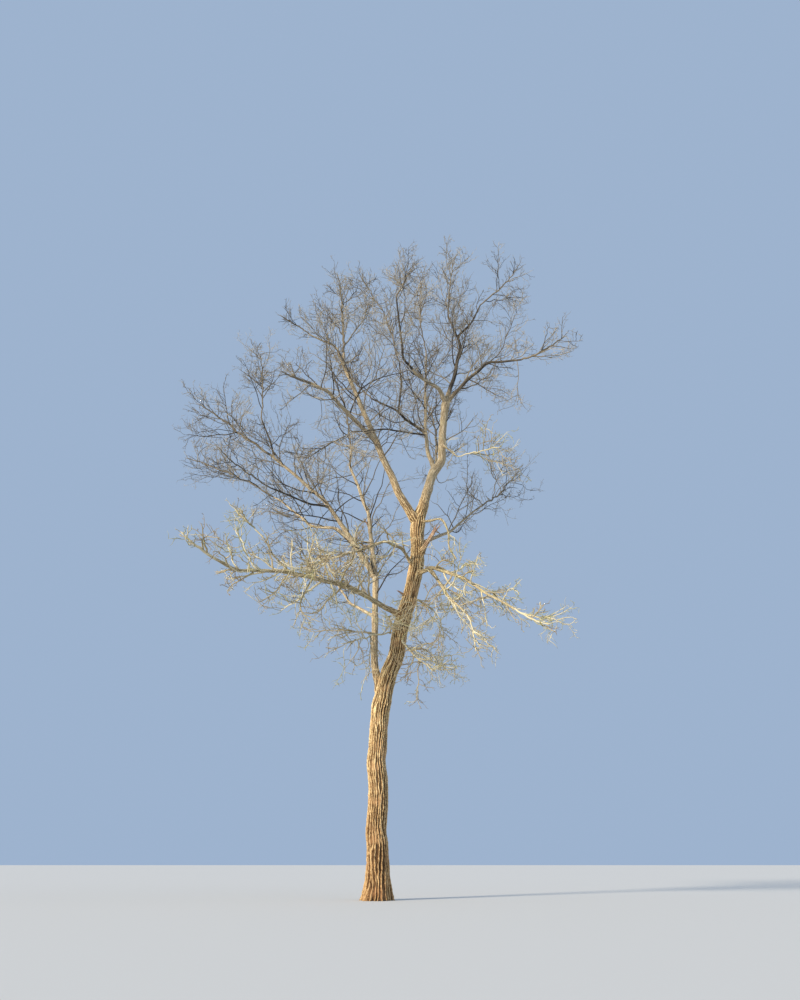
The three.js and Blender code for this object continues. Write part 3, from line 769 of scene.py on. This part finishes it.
def rims(across, beside, angles):
    """Directions from each point of a path to the sides round it"""
    return across[..., None, :] * np.cos(angles)[:, None] + beside[..., None, :] * np.sin(angles)[:, None]


def parent_way(limb):
    """The direction of the limb's parent where the limb springs from it"""
    places = np.clip(np.array([limb.share - WAY_REACH, limb.share + WAY_REACH]), 0, 1)
    ends = curve_points(limb.parent.knots, places)
    return unit(ends[1] - ends[0])


def bark_plan(limb):
    """Columns of furrows, their length and their place, which a thick leader takes from the trunk"""
    middle = (limb.base + limb.tip) / 2
    parent = limb.parent
    if limb.at_tip and limb.base > CONTINUED_RADIUS:
        columns, seed, climb, axis = parent.columns, parent.pattern, parent.end_climb, parent.end_axis
    else:
        width = FURROW_WIDTH * (middle / FULL_RADIUS) ** WIDTH_POWER
        columns = max(FEWEST_COLUMNS, round(math.tau * middle / width))
        seed, climb, axis = PATTERN_SEED + limb.number, 0, perpendicular(limb.first)
    furrow_length = FURROW_ASPECT * math.tau * middle / columns
    limb.columns, limb.pattern = columns, seed
    limb.end_climb = climb + limb.length / furrow_length
    kind = ("trunk" if parent is None else "thick" if limb.base > CONTINUED_RADIUS
            else "middling" if middle > THIN_RADIUS else "thin")
    return columns, seed, climb, axis, furrow_length, columns * SIDES_OF_COLUMN[kind]


def trumpet(limb, out, distance, rim, ahead, surface):
    """The limb's radius where it widens at its parent's surface, and stays inside it below"""
    outward = np.maximum(0, distance - surface)
    parent_radius = float(limb_radius(limb.parent, limb.share))
    thick = smooth_step(THIN_SIDE_LIMB, THICK_SIDE_LIMB, limb.base / parent_radius)
    swell = TRUMPET_SWELL * lerp(1, THICK_TRUMPET, thick)
    flare = swell * limb.base * np.exp(-outward / (TRUMPET_REACH * limb.base))
    way = parent_way(limb)
    in_plane = unit(way - ahead * (ahead @ way)[:, None])
    lean = (rim * in_plane[:, None]).sum(axis=-1)
    wide = out + flare[:, None] * (TRUMPET_SIDE + (1 - TRUMPET_SIDE) * lean ** 2)
    inside = INSIDE_PARENT * parent_radius
    emerged = smooth_step(EMERGING[0] * surface, EMERGING[1] * surface, distance)[:, None]
    return lerp(np.minimum(wide, inside), wide, emerged)


def turns_from(turn, middle):
    """The shorter way round from a middle, from -0.5 to 0.5 of a turn"""
    return np.mod(turn - middle + 0.5, 1) - 0.5


def hump(distance, turn, place, middle_turn, half_width, half_length, radius):
    """1 at a mark's middle, fading to 0 round it"""
    aside = turns_from(turn, middle_turn) * math.tau * radius
    return np.exp(-(aside / half_width) ** 2 - ((distance - place) / half_length) ** 2)


def parent_share(limb, distance, surface):
    """How much of its parent's bark a limb has at each distance along it"""
    if limb.parent is None:
        return np.zeros(len(distance))
    if limb.at_tip:
        return 1 - smooth_step(0, TIP_KINSHIP * limb.base, distance)
    return np.exp(-np.maximum(0, distance - surface) * SIDE_KINSHIP / limb.base ** 2)


def with_marks(out, height, distance, turn, base):
    """The trunk's radius and the height of its bark with the root flare, the burls and the scar"""
    buttress = sum(size * np.cos(math.tau * count * turn + phase) for count, phase, size in BUTTRESSES)
    out = out + BUTTRESS_SHARE * FLARE_SWELL * np.exp(-distance / FLARE_REACH) * buttress
    for swell, *place in BURLS:
        out = out + swell * hump(distance, turn, *place, base)
    scar = hump(distance, turn, *SCAR, base)
    hollow = smooth_step(*SCAR_EDGE, scar)
    lip = np.exp(-((scar - LIP_PLACE) / LIP_WIDTH) ** 2)
    return out + LIP_SWELL * lip - SCAR_DEPTH * hollow, height * (1 - hollow)


def at_vertices(values, extra, ends=None):
    """The rings' values with the last ring's again on the extra rings, and then those of the two ends"""
    values = np.concatenate([values, np.repeat(values[-1:], extra, axis=0)])
    ends = values[[-1, 0], 0] if ends is None else ends
    return np.concatenate([values.reshape(-1, *values.shape[2:]), ends])


def limb_shape(limb):
    """Vertices, faces, the values at each vertex and the UV places of a limb with its bark's relief"""
    parent, bark = limb.parent, limb.bark
    columns, pattern, climb_start, axis, furrow_length, sides = bark_plan(limb)
    middle = (limb.base + limb.tip) / 2
    surface, start = 0.0, 0.0
    if limb.is_side:
        slant = np.linalg.norm(np.cross(parent_way(limb), limb.first))
        surface = float(limb_radius(parent, limb.share)) / max(slant, LEAST_SLANT)
        start = 0.5 * surface * slant ** 2
    spacing = max(LEAST_SPACING, RING_ASPECT * math.tau * middle / sides)
    rings = math.ceil((limb.length - start) / spacing)
    distance = lerp(start, limb.length, np.arange(rings + 1) / rings)
    points = curve_points(limb.knots, distance / limb.length)
    first = unit(points[1] - points[0]) if limb.is_side else limb.first
    frames = carried_frames(points[None], first, limb.last, axis[None])
    across, beside, ahead = (rows[0] for rows in frames)
    limb.end_axis = across[-1]
    radius = bark_radius(limb, distance)
    turn = np.arange(sides)[None, :] / sides
    climb = (climb_start + distance / furrow_length)[:, None]
    far = distance[:, None]
    angle = math.tau * turn
    rim = rims(across, beside, angle[0])

    kinship = parent_share(limb, distance, surface)
    share = lerp(BARKS[bark]["depth"], BARKS[limb.parent_bark]["depth"], kinship)
    depth = RELIEF_DEPTH * (radius / FULL_RADIUS) ** DEPTH_POWER * share
    height = ((1 - FINE_RELIEF) * furrow_net(turn, climb, columns, pattern)
              + FINE_RELIEF * furrow_net(turn, climb * FINE_PITCH, columns * FINE_COLUMNS,
                                         pattern + FINE_SEED))
    lumps = BARKS[bark]["lumps"] * waves(turn, climb * LUMP_PITCH, LUMP_SEED + pattern, LUMP_WAVES)
    out = radius[:, None] * (1 + lumps) + depth[:, None] * (height - MEAN_RELIEF)
    if parent is None:
        out, height = with_marks(out, height, far, turn, limb.base)
    if limb.is_side:
        out = trumpet(limb, out, distance, rim, ahead, surface)
    if bark == "split":
        flat = unit(np.cross(ahead, np.array([0.0, 0, 1.0])))
        flattening = FLATTENING * smooth_step(surface, FLAT_FROM * surface, far)
        out = out * (1 - flattening * (rim * flat[:, None]).sum(axis=-1) ** 2)

    grid = points[:, None] + rim * out[..., None]
    if parent is None:
        level = smooth_step(0, LEVEL_REACH * FLARE_REACH, distance)[:, None]
        grid[..., 2] = lerp(points[:, None, 2], grid[..., 2], level)
    if bark == "split":
        grid, end = torn_end(limb, grid, ahead, turn, points)
    else:
        nose = ahead[-1] * limb.tip * TIP_ASPECT
        end = points[-1] + nose
        caps = [points[-1] + nose * math.sin(slope) + rim[-1] * (out[-1] * math.cos(slope))[:, None]
                for slope in map(math.radians, TIP_SLOPES)]
        grid = np.concatenate([grid, caps])
    extra = len(grid) - len(height)
    grain = np.stack([radius[:, None] * np.cos(angle), radius[:, None] * np.sin(angle),
                      np.broadcast_to(far, height.shape)], axis=-1)
    values = dict(relief=at_vertices(height, extra, [0.5, 0.5]), grain=at_vertices(grain, extra),
                  kinship=at_vertices(np.repeat(kinship[:, None], sides, axis=1), extra))
    vertices = np.concatenate([grid.reshape(-1, 3), end[None], points[:1]])
    slimness = limb.length / (math.tau * middle)
    return vertices, shell_faces(len(grid), sides), values, shell_places(len(grid), sides, slimness)


def torn_end(limb, grid, ahead, turn, points):
    """The broken end: a ragged rim with two long slivers, round a hollow"""
    scale = limb.tip / TORN_RADIUS
    tear = waves(turn * RAG_ROUNDS, np.zeros((1, 1)), RAG_SEED + limb.number, RAG_WAVES)[0]
    tear = RAG_LENGTH * np.abs(tear)
    for place, length, width in SLIVERS:
        tear = tear + length * np.exp(-(turns_from(turn[0], place) / width) ** 2)
    for back in range(min(TORN_RINGS, len(grid) - 1)):
        share = (1 - back / TORN_RINGS) ** TORN_POWER
        grid[-1 - back] += ahead[-1] * (scale * share * tear)[:, None]
    middle = points[-1]
    lip = middle + HOLLOW_WIDTH * (grid[-1] - middle)
    hollow = middle + HOLLOW_FOOT * (grid[-1] - middle) - ahead[-1] * HOLLOW_SIDE * scale
    return np.concatenate([grid, lip[None], hollow[None]]), middle - ahead[-1] * HOLLOW_DEPTH * scale


def ring_quads(rings, sides):
    """The quads between rings of vertices, and the number of each side and of the one after it"""
    ring = np.arange(rings - 1)[:, None] * sides
    side = np.arange(sides)
    following = (side + 1) % sides
    corners = [ring + side, ring + following, ring + sides + following, ring + sides + side]
    return np.stack(corners, axis=-1).reshape(-1, 4), side, following


def fan(rim, following, middle):
    return np.stack([rim, following, np.full(len(rim), middle)], axis=-1)


def shell_faces(rows, sides):
    """The quads between rings of vertices, and the fans that close the tip and the foot"""
    quads, side, following = ring_quads(rows, sides)
    top, tip = (rows - 1) * sides, rows * sides
    return [quads, np.concatenate([fan(top + side, top + following, tip), fan(following, side, tip + 1)])]


def shell_places(rows, sides, slimness):
    """UV places: the shell cut into strips side by side, and its two ends above them"""
    strips = max(1, round(math.sqrt(slimness)))
    each = math.ceil((rows - 1) / strips)
    ring = np.repeat(np.arange(rows - 1), sides)
    side = np.tile(np.arange(sides), rows - 1)
    strip = ring // each
    corners = []
    for right, up in ((0, 0), (1, 0), (1, 1), (0, 1)):
        corners.append(np.stack([(strip + STRIP_EDGE + STRIP_WIDTH * (side + right) / sides) / strips,
                                 STRIP_FOOT + STRIP_HEIGHT * (ring - strip * each + up) / each], axis=-1))
    places = [np.stack(corners, axis=1).reshape(-1, 2)]
    for middle, (first, second) in zip(END_MIDDLES, ((0, 1), (1, 0))):
        corners = []
        for step, reach in ((first, END_REACH), (second, END_REACH), (0, 0)):
            angle = math.tau * (np.arange(sides) + step) / sides
            corners.append(np.stack([middle + reach * np.cos(angle), END_HEIGHT + reach * np.sin(angle)],
                                    axis=-1))
        places.append(np.stack(corners, axis=1).reshape(-1, 2))
    return np.concatenate(places)


def tubes(points, radii, sides):
    """Vertices and triangles of closed tubes along the paths, each ending in a point, and each one's count"""
    first, last = points[:, 1] - points[:, 0], points[:, -1] - points[:, -2]
    across, beside, _ = carried_frames(points, first, last, perpendicular(unit(first)))
    rim = rims(across, beside, math.tau * np.arange(sides) / sides)
    loops = (points[:, :, None] + rim * radii[:, :, None, None])[:, :-1]
    count, rings = loops.shape[:2]
    vertices = np.concatenate([loops.reshape(count, -1, 3), points[:, -1:]], axis=1)
    quads, side, following = ring_quads(rings, sides)
    top = (rings - 1) * sides
    foot = np.stack([np.zeros(sides - 2, dtype=int), side[2:], side[1:-1]], axis=-1)
    template = np.concatenate([quads[:, [0, 1, 2]], quads[:, [0, 2, 3]],
                               fan(top + side, top + following, rings * sides), foot])
    faces = template[None] + (np.arange(count) * vertices.shape[1])[:, None, None]
    return vertices.reshape(-1, 3), faces.reshape(-1, 3), len(template)


def add_object(name, data):
    thing = bpy.data.objects.new(name, data)
    bpy.context.scene.collection.objects.link(thing)
    return thing


def make_piece(name, node, vertices, groups, materials, kinds=None, values=None, places=None):
    """An object from vertices in millimetres and groups of faces with the same number of corners"""
    mesh = bpy.data.meshes.new(name)
    faces = [corners for group in groups for corners in group.tolist()]
    mesh.from_pydata((vertices * TO_METRES).tolist(), [], faces)
    for material in materials:
        mesh.materials.append(material)
    if kinds is not None:
        mesh.polygons.foreach_set("material_index", kinds.astype(np.int32))
    for key, numbers in (values or {}).items():
        is_vector = numbers.ndim == 2
        layer = mesh.attributes.new(key, "FLOAT_VECTOR" if is_vector else "FLOAT", "POINT")
        scaled = numbers * TO_METRES if is_vector else numbers
        layer.data.foreach_set("vector" if is_vector else "value", scaled.astype(np.float32).ravel())
    if places is not None:
        layer = mesh.uv_layers.new(name="OFBake")
        layer.data.foreach_set("uv", places.astype(np.float32).ravel())
    mesh.validate()
    mesh.shade_smooth()
    piece = add_object(name, mesh)
    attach(piece, "root")
    if node:
        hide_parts(node)


# The trunk's foot is darker and redder
FOOT_TINT = (0.70, 0.60, 0.54, 1)

# Plain colours of twigs: stems, thick twigs and fine twigs, dealt out by spray
TWIG_COLOURS = {
    "high": dict(stem=((0.19, 0.16, 0.115),),
                 branch=((0.055, 0.048, 0.04), (0.125, 0.107, 0.082), (0.24, 0.205, 0.15)),
                 haze=((0.24, 0.205, 0.15), (0.22, 0.19, 0.145),
                       (0.36, 0.32, 0.235), (0.43, 0.38, 0.285))),
    "low": dict(stem=((0.58, 0.52, 0.35),), branch=((0.42, 0.35, 0.215), (0.64, 0.58, 0.40)),
                haze=((0.30, 0.235, 0.145), (0.44, 0.38, 0.245),
                      (0.56, 0.51, 0.35), (0.40, 0.38, 0.19))),
}


class Look:
    """A new material, with short calls that add nodes to it"""

    def __init__(self, name, roughness):
        self.material = bpy.data.materials.new(name)
        self.material.use_nodes = True
        self.tree = self.material.node_tree
        self.shader = self.tree.nodes["Principled BSDF"].inputs
        self.shader["Roughness"].default_value = roughness
        self.shader["Specular IOR Level"].default_value = 0.2

    def set(self, socket, value):
        """Set a socket to a number or a colour, or link another socket to it"""
        if isinstance(value, bpy.types.NodeSocket):
            self.tree.links.new(value, socket)
        else:
            socket.default_value = value

    def add(self, kind, *values, **named):
        """A new node: a name in lower case is a setting, another one is a socket, and values go in order"""
        node = self.tree.nodes.new("ShaderNode" + kind)
        sockets = dict(enumerate(values))
        for name, value in named.items():
            if name[0].islower():
                setattr(node, name, value)
            else:
                sockets[name.replace("_", " ")] = value
        for name, value in sockets.items():
            self.set(node.inputs[name], value)
        return node

    def get(self, kind, *values, output=0, **named):
        """One output of a new node"""
        return self.add(kind, *values, **named).outputs[output]

    def ramp(self, height, colours):
        node = self.add("ValToRGB", height)
        stops = node.color_ramp.elements
        for place in RAMP_PLACES[1:3]:
            stops.new(place)
        for stop, place, colour in zip(stops, RAMP_PLACES, colours):
            stop.position = place
            stop.color = (*colour, 1)
        return node.outputs["Color"]


def mottled(look, height, grain, bark):
    """A bark's colours by its height, partly the bark's own tones and partly painted shade in the furrows and
    a painted highlight on the crests, with patches of another one
    """
    bark = BARKS[bark]
    patches = look.get("TexNoise", Vector=grain, Scale=2.2, Detail=5)
    amount = look.get("MapRange", patches, From_Min=0.5, From_Max=0.68, To_Max=bark["patches"])
    colour = look.ramp(height, bark["colours"])
    patch = (*bark["colours"][-1], 1)
    return look.get("Mix", output="Result", data_type="RGBA", Factor=amount, A=colour, B=patch)


@cache
def bark_material(bark, parent_bark):
    """Colours by the bark's relief, with painted shade in its furrows and cracks and a painted highlight on
    its crests, with fibres along the limb, which turn into the parent's at its base
    """
    look = Look(f"bark_{bark}_{parent_bark}", roughness=0.92)
    grain = look.get("Attribute", output="Vector", attribute_name="grain")
    relief = look.get("Attribute", output="Fac", attribute_name="relief")
    # Fibres seven times as long as wide, and flakes
    long_grain = look.get("VectorMath", grain, (1, 1, 0.14), operation="MULTIPLY")
    fibres = look.get("TexNoise", Vector=long_grain, Scale=70, Detail=6, Roughness=0.62)
    flakes = look.add("TexNoise", Vector=grain, Scale=24, Detail=5).outputs
    # Plates between cracks, four times as long as wide, with wavering edges
    stray = look.get("VectorMath", flakes["Color"], (0.03, 0.03, 0.06), operation="MULTIPLY")
    wavering = look.get("VectorMath", grain, stray, operation="ADD")
    plate_grain = look.get("VectorMath", wavering, (1, 1, 0.25), operation="MULTIPLY")
    plates = look.get("TexVoronoi", Vector=plate_grain, Scale=30, feature="DISTANCE_TO_EDGE")
    cracks = look.get("MapRange", plates, From_Max=0.16, To_Min=-0.45, To_Max=0.08)
    both = look.get("Math", fibres, flakes["Fac"], operation="ADD")
    detail = look.get("Math", both, cracks, operation="ADD")
    # The detail on top of the mesh's relief, weaker and about zero. This height sets the colour, so cracks
    # and furrows are darker, partly the bark's own tone and partly painted shade
    weaker = look.get("Math", detail, 0.6, -0.58, operation="MULTIPLY_ADD")
    height = look.get("Math", weaker, relief, operation="ADD")
    colour = mottled(look, height, grain, bark)
    if bark == "furrowed":
        metres_up = look.get("SeparateXYZ", grain, output="Z")
        foot = look.get("MapRange", metres_up, From_Min=0.5, From_Max=5, To_Min=1, To_Max=0)
        colour = look.get("Mix", output="Result", data_type="RGBA", blend_type="MULTIPLY", Factor=foot,
                          A=colour, B=FOOT_TINT)
    if parent_bark != bark:
        kinship = look.get("Attribute", output="Fac", attribute_name="kinship")
        near = mottled(look, height, grain, parent_bark)
        colour = look.get("Mix", output="Result", data_type="RGBA", Factor=kinship, A=colour, B=near)
    look.set(look.shader["Base Color"], colour)
    look.set(look.shader["Normal"], look.get("Bump", Strength=0.9, Distance=0.009, Height=detail))
    return look.material


def twig_material(name, colour):
    """One plain colour, with a fine bump"""
    look = Look(name, roughness=0.85)
    look.set(look.shader["Base Color"], (*colour, 1))
    place = look.get("TexCoord", output="Object")
    noise = look.get("TexNoise", Vector=place, Scale=160, Detail=3)
    look.set(look.shader["Normal"], look.get("Bump", Strength=0.3, Distance=0.002, Height=noise))
    return look.material


limbs = {}
for number, row in enumerate(LIMBS):
    limbs[row[0]] = lay_limb(row, number, limbs)

# Twigs, level by level
stems = lay_stems(limbs)
chords = [(path[0], path[-1]) for path in stems["points"]]
as_solids = free_as_solids(limbs, chords)
as_fine = free_as_fine(limbs)
bough_twigs = grow(stems, BOUGH_TWIGS, as_solids)
side_twigs = grow(bough_twigs, SIDE_TWIGS, as_solids)
stems = refined(stems, STEM_KINK, STEM_THICKER, 1)
bough_twigs = refined(bough_twigs, BOUGH_KINK, THICKER, THICKER)
side_twigs = refined(side_twigs, SIDE_KINK, THICKER, THICKER)
limb_twigs = twigs_on_limbs(limbs, chords, as_fine)
between = merged([grow(parents, BETWEEN_TWIGS, as_fine) for parents in (stems, bough_twigs, limb_twigs)])
between = thinned(between, *BETWEEN_CROWD)
shoots = merged([grow(parents, SHOOTS, as_fine)
                 for parents in (stems, bough_twigs, side_twigs, limb_twigs, between)])
shoots = thinned(shoots, *SHOOT_CROWD)
spurs = thinned(grow(shoots, SPURS, as_fine), *SPUR_CROWD)
# Twigs of each level, the sides of their tubes and the family that their colour is from
TUBE_SETS = ((stems, 6, "stem"), (bough_twigs, 5, "branch"), (side_twigs, 4, "branch"),
             (limb_twigs, 5, "branch"), (between, 4, "branch"), (shoots, 3, "haze"), (spurs, 3, "haze"))
for twigs, _, family in TUBE_SETS:
    if family != "stem":
        twigs["radii"] = twigs["radii"] * np.where(IS_LOW[twigs["mass"]], LOW_THICKER, 1)[:, None]

for row in SNAGS:
    limbs[row[0]] = lay_limb(row, len(limbs), limbs)
for name, limb in limbs.items():
    vertices, groups, values, places = limb_shape(limb)
    node = name if name in frame["nodes"] else None
    make_piece(f"{name}_bark", node, vertices, groups,
               [bark_material(limb.bark, limb.parent_bark)], values=values, places=places)

# Each tint's materials, and the number of each family's first one among them
twig_materials, first_number = {}, {}
for tint, families in TWIG_COLOURS.items():
    twig_materials[tint] = []
    for family, colours in families.items():
        first_number[tint, family] = len(twig_materials[tint])
        for tone, colour in enumerate(colours):
            twig_materials[tint].append(twig_material(f"twig_{tint}_{family}_{tone}", colour))

for mass, (name, *_) in enumerate(MASSES):
    tint = "low" if IS_LOW[mass] else "high"
    vertices, faces, kinds = [], [], []
    count = 0
    for twigs, sides, family in TUBE_SETS:
        own = twigs["mass"] == mass
        if not own.any():
            continue
        points, own_faces, each = tubes(twigs["points"][own], twigs["radii"][own], sides)
        vertices.append(points)
        faces.append(own_faces + count)
        count += len(points)
        tone = (salted(twigs["spray"][own], TONE_SALT) * len(TWIG_COLOURS[tint][family])).astype(int)
        kinds.append(np.repeat(first_number[tint, family] + tone, each))
    make_piece(f"{name}_fine", name, np.concatenate(vertices), [np.concatenate(faces)],
               twig_materials[tint], kinds=np.concatenate(kinds))

# Floor, light and camera
FLOOR_REACH = 400
floor = bpy.data.meshes.new("floor")
corners = [(x * FLOOR_REACH, y * FLOOR_REACH, 0) for x, y in ((-1, -1), (1, -1), (1, 1), (-1, 1))]
floor.from_pydata(corners, [], [(0, 1, 2, 3)])
floor_look = Look("floor", 0.95)
floor_look.set(floor_look.shader["Base Color"], (0.62, 0.615, 0.595, 1))
floor.materials.append(floor_look.material)
add_object("floor", floor)

world = bpy.data.worlds.new("studio")
world.use_nodes = True
sky = world.node_tree.nodes["Background"].inputs
sky["Color"].default_value = (0.34, 0.45, 0.62, 1)
sky["Strength"].default_value = 1.0
bpy.context.scene.world = world
bpy.context.scene.view_settings.view_transform = "Standard"


def add_sun(name, heading, rise, strength, colour, softness):
    light = bpy.data.lights.new(name, "SUN")
    light.energy = strength
    light.color = colour
    light.angle = math.radians(softness)
    lamp = add_object(name, light)
    lamp.rotation_mode = "QUATERNION"
    lamp.rotation_quaternion = Vector(direction(heading, rise)).to_track_quat("Z", "Y")


add_sun("key", heading=222, rise=20, strength=5.4, colour=(1.0, 0.88, 0.7), softness=10)
add_sun("fill", heading=330, rise=40, strength=0.35, colour=(0.85, 0.92, 1.0), softness=60)

CAMERA_TILT = 24.4
camera = bpy.data.cameras.new("camera")
camera.lens = 28.8
camera.sensor_width = 36
camera.clip_end = 500
eye = add_object("camera", camera)
eye.location = (0.70, -26.1, 1.0)
eye.rotation_euler = (math.radians(90 + CAMERA_TILT), 0, 0)
bpy.context.scene.camera = eye
